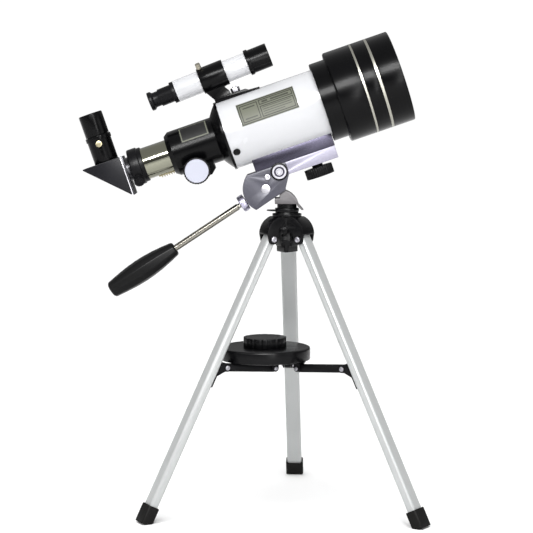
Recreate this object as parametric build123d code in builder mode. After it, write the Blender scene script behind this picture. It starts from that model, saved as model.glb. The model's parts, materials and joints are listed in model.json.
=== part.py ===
"""A 70 mm short refractor telescope on a folding tabletop tripod with a pan and tilt head.

Millimetres, +Z up.  The origin is on the floor under the pan axis, and the tube
points along +X, raised by ELEVATION.  Every piece is one STEP file in parts/.
"""

from build123d import *
import os
from math import asin, cos, degrees, hypot, pi, radians, sin, sqrt

# Where the telescope stands and how it is pointed.
ELEVATION = 19.0
TILT_X = -8.0
TILT_Z = 348.5
AXIS_HEIGHT = 51.5
RUNNING = 0.05
GAP = 0.3

# Optical tube: distances along the optical axis from the foot of the tilt bolt.
TUBE_R = 35.0
TUBE_WALL = 1.5
TUBE_REAR = -38.7
TUBE_FRONT = 70.0
CELL_R = 40.7
CELL_REAR = 63.1
SHIELD_R = 46.8
SHIELD_WALL = 2.0
SHIELD_REAR = 79.2
SHIELD_FRONT = 147.6
SHIELD_BAND_AT = (107.7, 123.9)
SHIELD_BAND_WIDTH = (2.0, 2.5)
SHIELD_BAND_DEPTH = 0.3
CELL_NOSE_R = 40.0
CELL_NOSE_FRONT = 90.0
SHIELD_SEAT = 90.5
LENS_R = 36.0
LENS_SEAT = 72.0

# Focuser and star diagonal.
FOCUSER_R = 23.0
FOCUSER_REAR = -99.8
FOCUSER_FRONT = -49.4
FLANGE_R = 35.6
FLANGE_REAR = -41.2
DRAWTUBE_R = 16.3
DRAWTUBE_REAR = -131.2
DRAWTUBE_FRONT = -44.0
PINION_AT = -77.7
PINION_DROP = 23.1
PINION_TEETH = 12
TOOTH_MODULE = 0.8
KNOB_R = 13.4
KNOB_NEAR = 21.6
KNOB_FAR = 35.0
RACK_REAR = -117.3
RACK_HALF_WIDTH = 2.3
ADAPTER_REAR = -140.9
ADAPTER_STEP = -131.3
BARREL_R = 12.25
DIAGONAL_CORNER = (-148.0, 15.0)
DIAGONAL_LEG = 40.7
DIAGONAL_HALF = 15.0
DIAGONAL_WALL = 2.0
DIAGONAL_PLATE = 2.8
PRISM_LEG = 26.0
SOCKET_AT = -163.0
SOCKET_R = 12.4
SOCKET_BORE = 10.6
SOCKET_TOP = 42.7
EYEPIECE_R = 12.2
EYEPIECE_TOP = 66.0

# Finder telescope, measured along its own axis from the middle of its bracket.
FINDER_AT = (-33.1, 60.7)
FINDER_LEAN = 2.6
FINDER_R = 11.2
FINDER_REAR = -39.6
FINDER_FRONT = 46.0
FINDER_RING_R = 13.25

# Pan and tilt head.
CHEEK_IN = 13.0
CHEEK_OUT = 15.0
PLATFORM_TOP = 7.1
PLATFORM_REAR = -31.9
PLATFORM_FRONT = 61.4
MOUNT_SCREW_AT = 38.7
LOCK_PIN_AT = (-18.6, -12.2)
STOP_SCREW_AT = (-13.2, -1.5)
HANDLE_DROP = 33.5
BOLT_R = 3.0

# Tripod.
LEG_AZIMUTHS = {"back": 86.0, "left": 206.0, "right": 326.0}
HINGE_R = 20.4
HINGE_Z = 280.0
SPREAD = 26.5
LEG_WIDE = 15.8
LEG_DEEP = 9.2
LEG_TOP = 6.0
LEG_CUT = 308.0
CAP_TOP = 294.0
CAP_END = 313.5
CAP_WALL = 1.5
PIN_DOWN = 137.3
PIN_IN = 13.6
BRACE_HUB_R = 15.0
BRACE_HUB_Z = 146.8
HUB_SLOT = 4.4
BRACE_HALF_WIDTH = 3.0
BRACKET_HALF = 4.7
BRACE_HALF_DEEP = 4.0
PIN_R = 1.5
TRAY_AT = (-22.5, 0.0)
TRAY_R = 46.7
TRAY_Z = 155.4
TRAY_DEEP = 12.7
TRAY_KNOB_R = 22.2

os.makedirs("parts", exist_ok=True)

slope = radians(ELEVATION)
SIDE = Plane(origin=(TILT_X, 0, TILT_Z), x_dir=(cos(slope), 0, sin(slope)), z_dir=(0, -1, 0))


def shifted(plane, along, up, turn=0.0):
    """The same plane moved by (along, up) in its own directions, then turned in itself."""
    origin = plane.from_local_coords(Vector(along, up, 0))
    x_dir = plane.x_dir.rotate(Axis((0, 0, 0), tuple(plane.z_dir)), turn)
    return Plane(origin=origin, x_dir=x_dir, z_dir=plane.z_dir)


OPTIC = shifted(SIDE, 0, AXIS_HEIGHT)
FINDER = shifted(OPTIC, *FINDER_AT, FINDER_LEAN)


def radial_plane(azimuth, radius=0.0, height=0.0, lean=0.0):
    """A plane through the pan axis: local x points outward and y up, both turned by lean."""
    out = Vector(1, 0, 0).rotate(Axis.Z, azimuth)
    upright = Plane(origin=out * radius + Vector(0, 0, height), x_dir=out, z_dir=(out.Y, -out.X, 0))
    return shifted(upright, 0, 0, lean)


def facing(azimuth, radius, height):
    """A plane that looks outward from the pan axis, square to the radius."""
    out = Vector(1, 0, 0).rotate(Axis.Z, azimuth)
    return Plane(origin=out * radius + Vector(0, 0, height), x_dir=(-out.Y, out.X, 0), z_dir=out)


def across(plane, along, angle, radius):
    """A plane square to the line that leaves the plane's x axis at an angle from its y axis.

    The angle runs towards the plane's own z direction, and the origin is at the radius.
    """
    ray = plane.y_dir * cos(radians(angle)) + plane.z_dir * sin(radians(angle))
    origin = plane.from_local_coords(Vector(along, 0, 0)) + ray * radius
    return Plane(origin=origin, x_dir=plane.x_dir, z_dir=ray)


def turn(plane, outline, mode=Mode.ADD):
    """Revolve a closed (along, radius) outline about the plane's own x axis."""
    with BuildSketch(plane) as section:
        with BuildLine():
            Polyline(*outline, close=True)
        make_face()
    revolve(section.sketch, axis=Axis(plane.origin, plane.x_dir), mode=mode)


def prism(plane, outline, half, mode=Mode.ADD):
    """Extrude a closed outline by half its width to both sides of the plane."""
    with BuildSketch(plane) as section:
        with BuildLine():
            Polyline(*outline, close=True)
        make_face()
    extrude(section.sketch, amount=half, both=True, mode=mode)


def rod(plane, radius, length, mode=Mode.ADD):
    """Extrude a circle from the plane along its normal."""
    with BuildSketch(plane) as section:
        Circle(radius)
    extrude(section.sketch, amount=length, mode=mode)


def save(piece, label):
    """Label a finished piece and write it to its own STEP file."""
    piece.part.label = label
    export_step(piece.part, f"parts/{label}.step")


def sag(radius, height):
    """How far a spherical face of this radius falls away at this height."""
    return radius - sqrt(radius**2 - height**2)


def half_way(bulge, half):
    """How far a spherical face that bulges this much stands out at half its height."""
    radius = (half**2 + bulge**2) / (2 * abs(bulge))
    fall = sag(radius, half / 2)
    return bulge - fall if bulge > 0 else bulge + fall


def lens(plane, rear_edge, front_edge, half, rear_bulge, front_bulge):
    """A lens turned about the plane's x axis; a bulge below zero hollows the face."""
    rear = (rear_edge - rear_bulge, 0)
    front = (front_edge + front_bulge, 0)
    with BuildSketch(plane) as section:
        with BuildLine():
            Line(rear, front)
            if front_bulge:
                front_middle = (front_edge + half_way(front_bulge, half), half / 2)
                ThreePointArc(front, front_middle, (front_edge, half))
            else:
                Line(front, (front_edge, half))
            Line((front_edge, half), (rear_edge, half))
            if rear_bulge:
                rear_middle = (rear_edge - half_way(rear_bulge, half), half / 2)
                ThreePointArc((rear_edge, half), rear_middle, rear)
            else:
                Line((rear_edge, half), rear)
        make_face()
    revolve(section.sketch, axis=Axis(plane.origin, plane.x_dir))


# ---------------------------------------------------------------- optical tube

FLANGE_SCREW_AT = -33.6
FLANGE_SCREW_ANGLES = (121.0, 238.0, 300.0)
FLANGE_SCREW_R = 1.5

with BuildPart() as main_tube:
    turn(OPTIC, [(TUBE_REAR, TUBE_R - TUBE_WALL), (TUBE_REAR, TUBE_R),
                 (TUBE_FRONT, TUBE_R), (TUBE_FRONT, TUBE_R - TUBE_WALL)])
    for angle in FLANGE_SCREW_ANGLES:
        rod(across(OPTIC, FLANGE_SCREW_AT, angle, TUBE_R - 4), FLANGE_SCREW_R, 6, Mode.SUBTRACT)
save(main_tube, "main_tube")

with BuildPart() as objective_cell:
    turn(OPTIC, [(CELL_REAR, TUBE_R), (CELL_REAR, CELL_R - 0.6), (CELL_REAR + 0.6, CELL_R),
                 (SHIELD_REAR, CELL_R), (SHIELD_REAR, CELL_NOSE_R), (CELL_NOSE_FRONT, CELL_NOSE_R),
                 (CELL_NOSE_FRONT, LENS_R), (LENS_SEAT, LENS_R), (LENS_SEAT, LENS_R - 2),
                 (TUBE_FRONT, LENS_R - 2), (TUBE_FRONT, TUBE_R)])
save(objective_cell, "objective_cell")

CROWN_REAR = LENS_SEAT + 8.5
CROWN_FRONT = CROWN_REAR + 4.0
CEMENT_SAG = sag(140.0, LENS_R)
CROWN_SAG = sag(180.0, LENS_R)

with BuildPart() as objective_lenses:
    lens(OPTIC, CROWN_REAR, CROWN_FRONT, LENS_R, CEMENT_SAG, CROWN_SAG)
    lens(OPTIC, LENS_SEAT, CROWN_REAR - 0.1, LENS_R, 0, -CEMENT_SAG)
save(objective_lenses, "objective_lenses")

with BuildPart() as lens_ring:
    turn(OPTIC, [(CROWN_FRONT + 0.35, LENS_R - 1.5), (CROWN_FRONT + 0.35, LENS_R),
                 (CROWN_FRONT + 3.5, LENS_R), (CROWN_FRONT + 3.5, LENS_R - 2.0)])
save(lens_ring, "lens_ring")

with BuildPart() as dew_shield:
    shield = [(SHIELD_REAR, CELL_NOSE_R), (SHIELD_REAR, SHIELD_R - 1.2), (SHIELD_REAR + 1.2, SHIELD_R)]
    for at, width in zip(SHIELD_BAND_AT, SHIELD_BAND_WIDTH):
        low = SHIELD_R - SHIELD_BAND_DEPTH
        shield += [(at - width / 2, SHIELD_R), (at - width / 2, low),
                   (at + width / 2, low), (at + width / 2, SHIELD_R)]
    shield += [(SHIELD_FRONT - 0.5, SHIELD_R), (SHIELD_FRONT, SHIELD_R - 0.5),
               (SHIELD_FRONT, SHIELD_R - SHIELD_WALL), (SHIELD_SEAT, SHIELD_R - SHIELD_WALL),
               (SHIELD_SEAT, CELL_NOSE_R)]
    turn(OPTIC, shield)
save(dew_shield, "dew_shield")

with BuildPart() as shield_bands:
    for at, width in zip(SHIELD_BAND_AT, SHIELD_BAND_WIDTH):
        low = SHIELD_R - SHIELD_BAND_DEPTH
        turn(OPTIC, [(at - width / 2, low), (at - width / 2, SHIELD_R + 0.1),
                     (at + width / 2, SHIELD_R + 0.1), (at + width / 2, low)])
save(shield_bands, "shield_bands")

TUBE_LABEL = ((-20.0, 3.5), (40.2, 25.8))
FOCUSER_LABEL = ((-83.3, 7.7), (-54.0, 21.8))
LABEL_THICK = 0.2

with BuildPart() as label_plates:
    for (rear, low), (front, high) in (TUBE_LABEL, FOCUSER_LABEL):
        under = TUBE_R if front > FOCUSER_FRONT else FOCUSER_R
        over = under + LABEL_THICK
        turn(OPTIC, [(rear, under), (rear, over), (front, over), (front, under)])
    with BuildSketch(OPTIC) as windows:
        for (rear, low), (front, high) in (TUBE_LABEL, FOCUSER_LABEL):
            with Locations(((rear + front) / 2, (low + high) / 2)):
                Rectangle(front - rear, high - low)
    extrude(windows.sketch, amount=60, mode=Mode.INTERSECT)
save(label_plates, "label_plates")

# ---------------------------------------------------------------- focuser

PITCH = pi * TOOTH_MODULE
PINION_PITCH_R = TOOTH_MODULE * PINION_TEETH / 2
PINION_TIP_R = PINION_PITCH_R + 0.7
PINION_ROOT_R = PINION_PITCH_R - 1.0
RACK_LINE = PINION_DROP - PINION_PITCH_R
RACK_TIP = RACK_LINE + 0.6
RACK_ROOT = RACK_LINE - 1.0
SHAFT_R = 2.5
PINION = shifted(OPTIC, PINION_AT, -PINION_DROP)

with BuildPart() as focuser_body:
    with BuildSketch(OPTIC) as section:
        with BuildLine():
            Polyline((FOCUSER_FRONT, FOCUSER_R), (FOCUSER_REAR + 4.5, FOCUSER_R),
                     (FOCUSER_REAR, FOCUSER_R - 3.2), (FOCUSER_REAR, DRAWTUBE_R + RUNNING),
                     (-60, DRAWTUBE_R + RUNNING), (-60, 20), (-52, 20), (-41, 31),
                     (-28, 31), (-28, TUBE_R - TUBE_WALL), (TUBE_REAR, TUBE_R - TUBE_WALL),
                     (TUBE_REAR, FLANGE_R), (FLANGE_REAR, FLANGE_R), (FLANGE_REAR, FLANGE_R - 1.6))
            ThreePointArc((FLANGE_REAR, FLANGE_R - 1.6), (-46.6, 27.2), (FOCUSER_FRONT, FOCUSER_R))
        make_face()
    revolve(section.sketch, axis=Axis(OPTIC.origin, OPTIC.x_dir))
    prism(OPTIC, [(-60, -14), (-60, -27.6), (-65, -32), (-86, -32), (-90, -28), (-90, -14)], 12)
    turn(OPTIC, [(-112, 0), (-112, DRAWTUBE_R + RUNNING), (-60, DRAWTUBE_R + RUNNING),
                 (-60, 0)], Mode.SUBTRACT)
    prism(OPTIC, [(-110, -10), (-110, -RACK_TIP - GAP), (-40, -RACK_TIP - GAP), (-40, -10)],
          RACK_HALF_WIDTH + GAP, Mode.SUBTRACT)
    with BuildSketch(PINION) as pinion_room:
        Circle(PINION_TIP_R + GAP)
    extrude(pinion_room.sketch, amount=RACK_HALF_WIDTH + GAP, both=True, mode=Mode.SUBTRACT)
    with BuildSketch(PINION) as shaft_hole:
        Circle(SHAFT_R + RUNNING)
    extrude(shaft_hole.sketch, amount=16, both=True, mode=Mode.SUBTRACT)
    for angle in FLANGE_SCREW_ANGLES:
        rod(across(OPTIC, FLANGE_SCREW_AT, angle, 29), FLANGE_SCREW_R, 6, Mode.SUBTRACT)
save(focuser_body, "focuser_body")

with BuildPart() as flange_screws:
    for angle in FLANGE_SCREW_ANGLES:
        seat = across(OPTIC, FLANGE_SCREW_AT, angle, TUBE_R + 0.25)
        rod(seat, 3.7, 1.2)
        rod(across(OPTIC, FLANGE_SCREW_AT, angle, 30.5), FLANGE_SCREW_R, TUBE_R + 0.25 - 30.5)
    fillet(flange_screws.faces().filter_by(GeomType.PLANE).group_by(SortBy.AREA)[-1].edges(), 0.4)
save(flange_screws, "flange_screws")

with BuildPart() as drawtube:
    turn(OPTIC, [(DRAWTUBE_REAR, DRAWTUBE_R - 1.2), (DRAWTUBE_REAR, DRAWTUBE_R),
                 (DRAWTUBE_FRONT, DRAWTUBE_R), (DRAWTUBE_FRONT, DRAWTUBE_R - 1.2)])
save(drawtube, "drawtube")


def rack_outline():
    """The rack's side view: a bar with straight-sided teeth along its lower edge."""
    half_tip = 0.11 * PITCH
    half_root = 0.25 * PITCH
    points = [(RACK_REAR, -DRAWTUBE_R + 1.0), (RACK_REAR, -RACK_ROOT)]
    first = int((RACK_REAR + 1.5 - PINION_AT) / PITCH - 0.5)
    last = int((DRAWTUBE_FRONT - 1.5 - PINION_AT) / PITCH - 0.5)
    for tooth in range(first, last + 1):
        middle = PINION_AT + (tooth + 0.5) * PITCH
        points += [(middle - half_root, -RACK_ROOT), (middle - half_tip, -RACK_TIP),
                   (middle + half_tip, -RACK_TIP), (middle + half_root, -RACK_ROOT)]
    points += [(DRAWTUBE_FRONT, -RACK_ROOT), (DRAWTUBE_FRONT, -DRAWTUBE_R + 1.0)]
    return points


with BuildPart() as focus_rack:
    prism(OPTIC, rack_outline(), RACK_HALF_WIDTH)
    turn(OPTIC, [(-150, 0), (-150, DRAWTUBE_R), (0, DRAWTUBE_R), (0, 0)], Mode.SUBTRACT)
save(focus_rack, "focus_rack")


def pinion_outline():
    """The pinion's end view, one tooth straight up towards the rack."""
    points = []
    for tooth in range(PINION_TEETH):
        middle = 90 + tooth * 360 / PINION_TEETH
        for reach, turned in ((PINION_ROOT_R, -9), (PINION_TIP_R, -3.2),
                              (PINION_TIP_R, 3.2), (PINION_ROOT_R, 9)):
            turned_to = radians(middle + turned)
            points.append((reach * cos(turned_to), reach * sin(turned_to)))
    return points


with BuildPart() as pinion_shaft:
    prism(PINION, pinion_outline(), RACK_HALF_WIDTH)
    with BuildSketch(PINION) as shaft:
        Circle(SHAFT_R)
    extrude(shaft.sketch, amount=KNOB_FAR - 4, both=True)
save(pinion_shaft, "pinion_shaft")

with BuildPart() as focus_knobs:
    for side in (-1, 1):
        face = Plane(origin=PINION.origin, x_dir=PINION.x_dir, z_dir=(0, side, 0))
        with BuildSketch(face.offset(KNOB_NEAR)) as knob:
            Circle(KNOB_R)
            with PolarLocations(KNOB_R + 0.35, 30):
                Circle(0.75, mode=Mode.SUBTRACT)
        extrude(knob.sketch, amount=KNOB_FAR - KNOB_NEAR)
        rod(face.offset(KNOB_NEAR - 4.4), 6.0, 4.4)
        rod(face.offset(KNOB_FAR - 0.8), 11.9, 1, Mode.SUBTRACT)
        rod(face.offset(KNOB_NEAR - 6), SHAFT_R, KNOB_FAR - 4 - KNOB_NEAR + 6, Mode.SUBTRACT)
save(focus_knobs, "focus_knobs")

ADAPTER_SCREW_ANGLE = 128.0
ADAPTER_SCREW_AT = -136.6

with BuildPart() as adapter_ring:
    turn(OPTIC, [(-126.8, DRAWTUBE_R), (-126.8, 17.3), (-127.3, 17.8), (ADAPTER_STEP + 0.6, 17.8),
                 (ADAPTER_STEP, 19.0), (ADAPTER_REAR + 0.8, 19.0), (ADAPTER_REAR, 18.2),
                 (ADAPTER_REAR, BARREL_R + RUNNING), (DRAWTUBE_REAR, BARREL_R + RUNNING),
                 (DRAWTUBE_REAR, DRAWTUBE_R)])
    rod(across(OPTIC, ADAPTER_SCREW_AT, ADAPTER_SCREW_ANGLE, 16.0), 4.2, 4.6)
    rod(across(OPTIC, ADAPTER_SCREW_AT, ADAPTER_SCREW_ANGLE, 10.0), 1.5 + RUNNING, 14, Mode.SUBTRACT)
save(adapter_ring, "adapter_ring")

with BuildPart() as adapter_screw:
    rod(across(OPTIC, ADAPTER_SCREW_AT, ADAPTER_SCREW_ANGLE, BARREL_R + GAP), 1.5, 10)
    with BuildSketch(across(OPTIC, ADAPTER_SCREW_AT, ADAPTER_SCREW_ANGLE, 21.0)) as grip:
        Circle(5.4)
        with PolarLocations(5.6, 14):
            Circle(0.6, mode=Mode.SUBTRACT)
    extrude(grip.sketch, amount=4.5)
    rod(across(OPTIC, ADAPTER_SCREW_AT, ADAPTER_SCREW_ANGLE, 25.5), 1.4, 0.5)
save(adapter_screw, "adapter_screw")

# ---------------------------------------------------------------- star diagonal

corner_s, corner_h = DIAGONAL_CORNER
plate_front = corner_s + DIAGONAL_PLATE
hollow_leg = DIAGONAL_LEG - DIAGONAL_WALL * (2 + sqrt(2))


def diagonal_corner(inset, leg):
    """A right-angled triangle set back into the diagonal's front upper corner."""
    return [(corner_s - inset, corner_h - inset), (corner_s - inset - leg, corner_h - inset),
            (corner_s - inset, corner_h - inset - leg)]


with BuildPart() as diagonal_housing:
    prism(OPTIC, diagonal_corner(0, DIAGONAL_LEG), DIAGONAL_HALF)
    fillet(diagonal_housing.edges().filter_by(Axis.Y), 0.8)
    prism(OPTIC, diagonal_corner(DIAGONAL_WALL, hollow_leg), DIAGONAL_HALF - DIAGONAL_WALL, Mode.SUBTRACT)
    rod(across(shifted(OPTIC, SOCKET_AT, 0), 0, 0, 5), SOCKET_BORE, 12, Mode.SUBTRACT)
    rod(Plane(origin=OPTIC.from_local_coords(Vector(corner_s - 5, 0, 0)), z_dir=OPTIC.x_dir),
        SOCKET_BORE, 8, Mode.SUBTRACT)
save(diagonal_housing, "diagonal_housing")

with BuildPart() as diagonal_prism:
    prism(OPTIC, diagonal_corner(DIAGONAL_WALL, PRISM_LEG), DIAGONAL_HALF - DIAGONAL_WALL)
save(diagonal_prism, "diagonal_prism")

with BuildPart() as diagonal_barrel:
    prism(OPTIC, [(corner_s, corner_h), (corner_s, corner_h - DIAGONAL_LEG),
                  (plate_front, corner_h - DIAGONAL_LEG), (plate_front, corner_h)], DIAGONAL_HALF)
    turn(OPTIC, [(plate_front, 0), (plate_front, BARREL_R), (-132, BARREL_R), (-132, 0)])
    turn(OPTIC, [(corner_s - 1, 0), (corner_s - 1, BARREL_R - 1.5), (-130, BARREL_R - 1.5),
                 (-130, 0)], Mode.SUBTRACT)
save(diagonal_barrel, "diagonal_barrel")

SOCKET = shifted(OPTIC, SOCKET_AT, 0, 90)
SOCKET_SCREW_AT = 34.3

with BuildPart() as diagonal_socket:
    turn(SOCKET, [(corner_h, SOCKET_BORE + RUNNING), (corner_h, SOCKET_R), (SOCKET_TOP - 4.6, SOCKET_R),
                  (SOCKET_TOP - 4.6, SOCKET_R + 0.75), (SOCKET_TOP - 0.4, SOCKET_R + 0.75),
                  (SOCKET_TOP, SOCKET_R + 0.35), (SOCKET_TOP, SOCKET_BORE + RUNNING)])
    rod(across(SOCKET, SOCKET_SCREW_AT, 90, 8), 1.3 + RUNNING, 8, Mode.SUBTRACT)
save(diagonal_socket, "diagonal_socket")

with BuildPart() as socket_screw:
    rod(across(SOCKET, SOCKET_SCREW_AT, 90, SOCKET_BORE + 0.35), 1.3, 4)
    with BuildSketch(across(SOCKET, SOCKET_SCREW_AT, 90, SOCKET_R + 0.5)) as grip:
        Circle(3.4)
        with PolarLocations(3.5, 16):
            Circle(0.35, mode=Mode.SUBTRACT)
    extrude(grip.sketch, amount=3.6)
save(socket_screw, "socket_screw")

with BuildPart() as eyepiece:
    turn(SOCKET, [(22, 8.6), (22, SOCKET_BORE), (SOCKET_TOP + GAP, SOCKET_BORE),
                  (SOCKET_TOP + GAP, EYEPIECE_R), (EYEPIECE_TOP - 0.8, EYEPIECE_R),
                  (EYEPIECE_TOP, EYEPIECE_R - 0.8), (EYEPIECE_TOP, EYEPIECE_R - 2.0),
                  (EYEPIECE_TOP - 3, 6.5), (EYEPIECE_TOP - 3.6, 6.5), (EYEPIECE_TOP - 3.6, 9.0),
                  (SOCKET_TOP, 8.6)])
save(eyepiece, "eyepiece")

with BuildPart() as eyepiece_lenses:
    lens(SOCKET, EYEPIECE_TOP - 8.0, EYEPIECE_TOP - 5.0, 8.8, 1.0, 0.8)
    lens(SOCKET, 26.0, 28.0, 8.6, 0, 1.6)
save(eyepiece_lenses, "eyepiece_lenses")

# ---------------------------------------------------------------- finder

with BuildPart() as finder_tube:
    turn(FINDER, [(FINDER_REAR, FINDER_R - 1), (FINDER_REAR, FINDER_R),
                  (FINDER_FRONT, FINDER_R), (FINDER_FRONT, FINDER_R - 1)])
save(finder_tube, "finder_tube")

with BuildPart() as finder_hood:
    turn(FINDER, [(38, FINDER_R), (38, 12.85), (38.4, 13.25), (41.9, 13.25), (41.9, 12.2), (61.3, 12.2),
                  (61.7, 11.8), (61.7, 10.9), (FINDER_FRONT, 10.9), (FINDER_FRONT, FINDER_R)])
save(finder_hood, "finder_hood")

with BuildPart() as finder_objective:
    lens(FINDER, FINDER_FRONT + 1.6, FINDER_FRONT + 3.6, 10.9, 1.0, 1.2)
save(finder_objective, "finder_objective")

with BuildPart() as finder_eyepiece:
    turn(FINDER, [(-68.7, 7.4), (-68.7, 9.2), (-68.1, 9.65), (-65.2, 9.65), (-63.4, 7.7),
                  (-57.4, 7.7), (-57.4, 8.9), (-43.8, 8.9), (-43.8, 10.95), (-39.9, 10.95),
                  (-39.9, FINDER_R - 1 - RUNNING), (-26, FINDER_R - 1 - RUNNING), (-26, 8),
                  (-56, 6.0), (-64, 6.0)])
save(finder_eyepiece, "finder_eyepiece")

with BuildPart() as finder_eye_lens:
    lens(FINDER, -62.5, -60.5, 6.0, 0.6, 0.8)
save(finder_eye_lens, "finder_eye_lens")

FOOT_REAR = -38.4
FOOT_TOP = 38.8

with BuildPart() as finder_bracket:
    prism(OPTIC, [(-45.3, 54), (-44.6, 48.1), (-40.4, 41.3), (FOOT_REAR, FOOT_TOP - 0.6),
                  (-20.6, FOOT_TOP - 0.6), (-21.6, 43.0), (-24.6, 47.3), (-21.0, 49), (-21.0, 54)], 5.0)
    prism(OPTIC, [(FOOT_REAR, 33), (FOOT_REAR, FOOT_TOP), (-5.4, FOOT_TOP), (-2.2, 36.8), (8.8, 36.2),
                  (8.8, 33)], 8.0)
    turn(FINDER, [(-12.9, 0), (-12.9, FINDER_RING_R), (14.3, FINDER_RING_R), (14.3, 0)])
    turn(FINDER, [(-40, 0), (-40, FINDER_R), (50, FINDER_R), (50, 0)], Mode.SUBTRACT)
    turn(OPTIC, [(-60, 0), (-60, TUBE_R), (60, TUBE_R), (60, 0)], Mode.SUBTRACT)
    rod(across(FINDER, -9.3, 25, 10), 1.6 + RUNNING, 8, Mode.SUBTRACT)
save(finder_bracket, "finder_bracket")

with BuildPart() as finder_screw:
    rod(across(FINDER, -9.3, 25, FINDER_R + GAP), 1.6, 6)
    with BuildSketch(across(FINDER, -9.3, 25, FINDER_RING_R + 1.2)) as grip:
        Circle(2.6)
        with PolarLocations(2.7, 14):
            Circle(0.3, mode=Mode.SUBTRACT)
    extrude(grip.sketch, amount=5.0)
save(finder_screw, "finder_screw")

with BuildPart() as finder_nut:
    with BuildSketch(across(OPTIC, -15.3, 0, FOOT_TOP)) as hexagon:
        RegularPolygon(4.8, 6)
    extrude(hexagon.sketch, amount=4.6)
    rod(across(OPTIC, -15.3, 0, FOOT_TOP + 4.6), 2.0, 1.2)
save(finder_nut, "finder_nut")

# ---------------------------------------------------------------- saddle and tilt head

with BuildPart() as tube_saddle:
    prism(SIDE, [(-22.6, PLATFORM_TOP), (-22.6, 20), (61.9, 20), (61.9, PLATFORM_TOP)], 15.0)
    turn(OPTIC, [(-60, 0), (-60, TUBE_R), (80, TUBE_R), (80, 0)], Mode.SUBTRACT)
    rod(across(SIDE, MOUNT_SCREW_AT, 0, 0), 3.1 + RUNNING, 14.6, Mode.SUBTRACT)
save(tube_saddle, "tube_saddle")

CHEEK_ARC = [(PLATFORM_REAR, PLATFORM_TOP), (-42.0, -12.2), (-34.5, -29.3)]

with BuildPart() as tilt_platform:
    with BuildSketch(SIDE) as cheek:
        with BuildLine():
            ThreePointArc(*CHEEK_ARC)
            Polyline(CHEEK_ARC[2], (-0.5, -20.0), (8.5, -5.6), (PLATFORM_FRONT, -5.6),
                     (PLATFORM_FRONT, PLATFORM_TOP), CHEEK_ARC[0])
        make_face()
    extrude(cheek.sketch, amount=CHEEK_OUT, both=True)
    prism(SIDE, [(-60, -40), (-60, 4.1), (PLATFORM_FRONT - 1.6, 4.1), (PLATFORM_FRONT - 1.6, -40)],
          CHEEK_IN, Mode.SUBTRACT)
    for at, radius in (((0, 0), BOLT_R), (LOCK_PIN_AT, 4.6), (STOP_SCREW_AT, 1.5)):
        with BuildSketch(shifted(SIDE, *at)) as hole:
            Circle(radius)
        extrude(hole.sketch, amount=20, both=True, mode=Mode.SUBTRACT)
    rod(across(SIDE, MOUNT_SCREW_AT, 0, 0), 3.1 + GAP, 12, Mode.SUBTRACT)
    prism(SIDE, [(-8, 0), (-8, 8), (8, 8), (8, 0)], CHEEK_IN, Mode.SUBTRACT)
save(tilt_platform, "tilt_platform")

with BuildPart() as tilt_washer:
    rod(SIDE.offset(CHEEK_OUT), 8.9, 1.4)
    rod(SIDE.offset(CHEEK_OUT - 1), BOLT_R, 4, Mode.SUBTRACT)
save(tilt_washer, "tilt_washer")

with BuildPart() as tilt_bolt:
    rod(SIDE.offset(-CHEEK_OUT - 4), BOLT_R, 2 * CHEEK_OUT + 7)
    rod(SIDE.offset(CHEEK_OUT + 1.4), 7.1, 2.6)
    rod(SIDE.offset(CHEEK_OUT + 3.0), 3.6, 2, Mode.SUBTRACT)
    with BuildSketch(SIDE.offset(-CHEEK_OUT - 5)) as nut:
        RegularPolygon(6.0, 6)
    extrude(nut.sketch, amount=5)
    fillet(tilt_bolt.edges().filter_by(GeomType.CIRCLE).sort_by(SortBy.RADIUS)[-1:], 0.6)
save(tilt_bolt, "tilt_bolt")

with BuildPart() as stop_screw:
    stop = shifted(SIDE, *STOP_SCREW_AT)
    rod(stop.offset(-CHEEK_OUT - 1.5), 1.5, 2 * CHEEK_OUT + 3)
    rod(stop.offset(CHEEK_OUT), 2.85, 1.6)
    rod(stop.offset(-CHEEK_OUT - 1.6), 2.85, 1.6)
    rod(stop.offset(CHEEK_OUT + 0.9), 1.2, 2, Mode.SUBTRACT)
save(stop_screw, "stop_screw")

HANDLE = shifted(shifted(SIDE, *LOCK_PIN_AT), 0, 0, 180 - ELEVATION + HANDLE_DROP)
ROD_TIP = -4.0

with BuildPart() as lock_pin:
    rod(shifted(SIDE, *LOCK_PIN_AT).offset(-CHEEK_OUT - 0.4), 4.6, 2 * CHEEK_OUT + 0.8)
    turn(HANDLE, [(-8, 0), (-8, 2.5 + RUNNING), (8, 2.5 + RUNNING), (8, 0)], Mode.SUBTRACT)
save(lock_pin, "lock_pin")

with BuildPart() as handle_rod:
    turn(HANDLE, [(ROD_TIP, 0), (ROD_TIP, 2.5), (33.5, 2.5), (34.2, 3.35), (111.0, 3.35), (111.0, 2.6),
                  (150.0, 2.6), (150.0, 0)])
save(handle_rod, "handle_rod")

with BuildPart() as handle_ferrule:
    turn(HANDLE, [(24.2, 2.5), (24.2, 8.7), (30.0, 8.7), (30.8, 7.9), (30.8, 2.5)])
save(handle_ferrule, "handle_ferrule")

with BuildPart() as handle_grip:
    with BuildSketch(HANDLE) as section:
        with BuildLine():
            Polyline((150.0, 2.6), (111.0, 2.6), (111.0, 6.4), (112.0, 7.4))
            ThreePointArc((112.0, 7.4), (152.5, 11.9), (188.6, 8.6))
            Polyline((188.6, 8.6), (190.4, 6.6), (190.4, 0), (150.0, 0), (150.0, 2.6))
        make_face()
    revolve(section.sketch, axis=Axis(HANDLE.origin, HANDLE.x_dir))
save(handle_grip, "handle_grip")

KNOB = across(SIDE, MOUNT_SCREW_AT, 0, -18.6)

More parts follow.
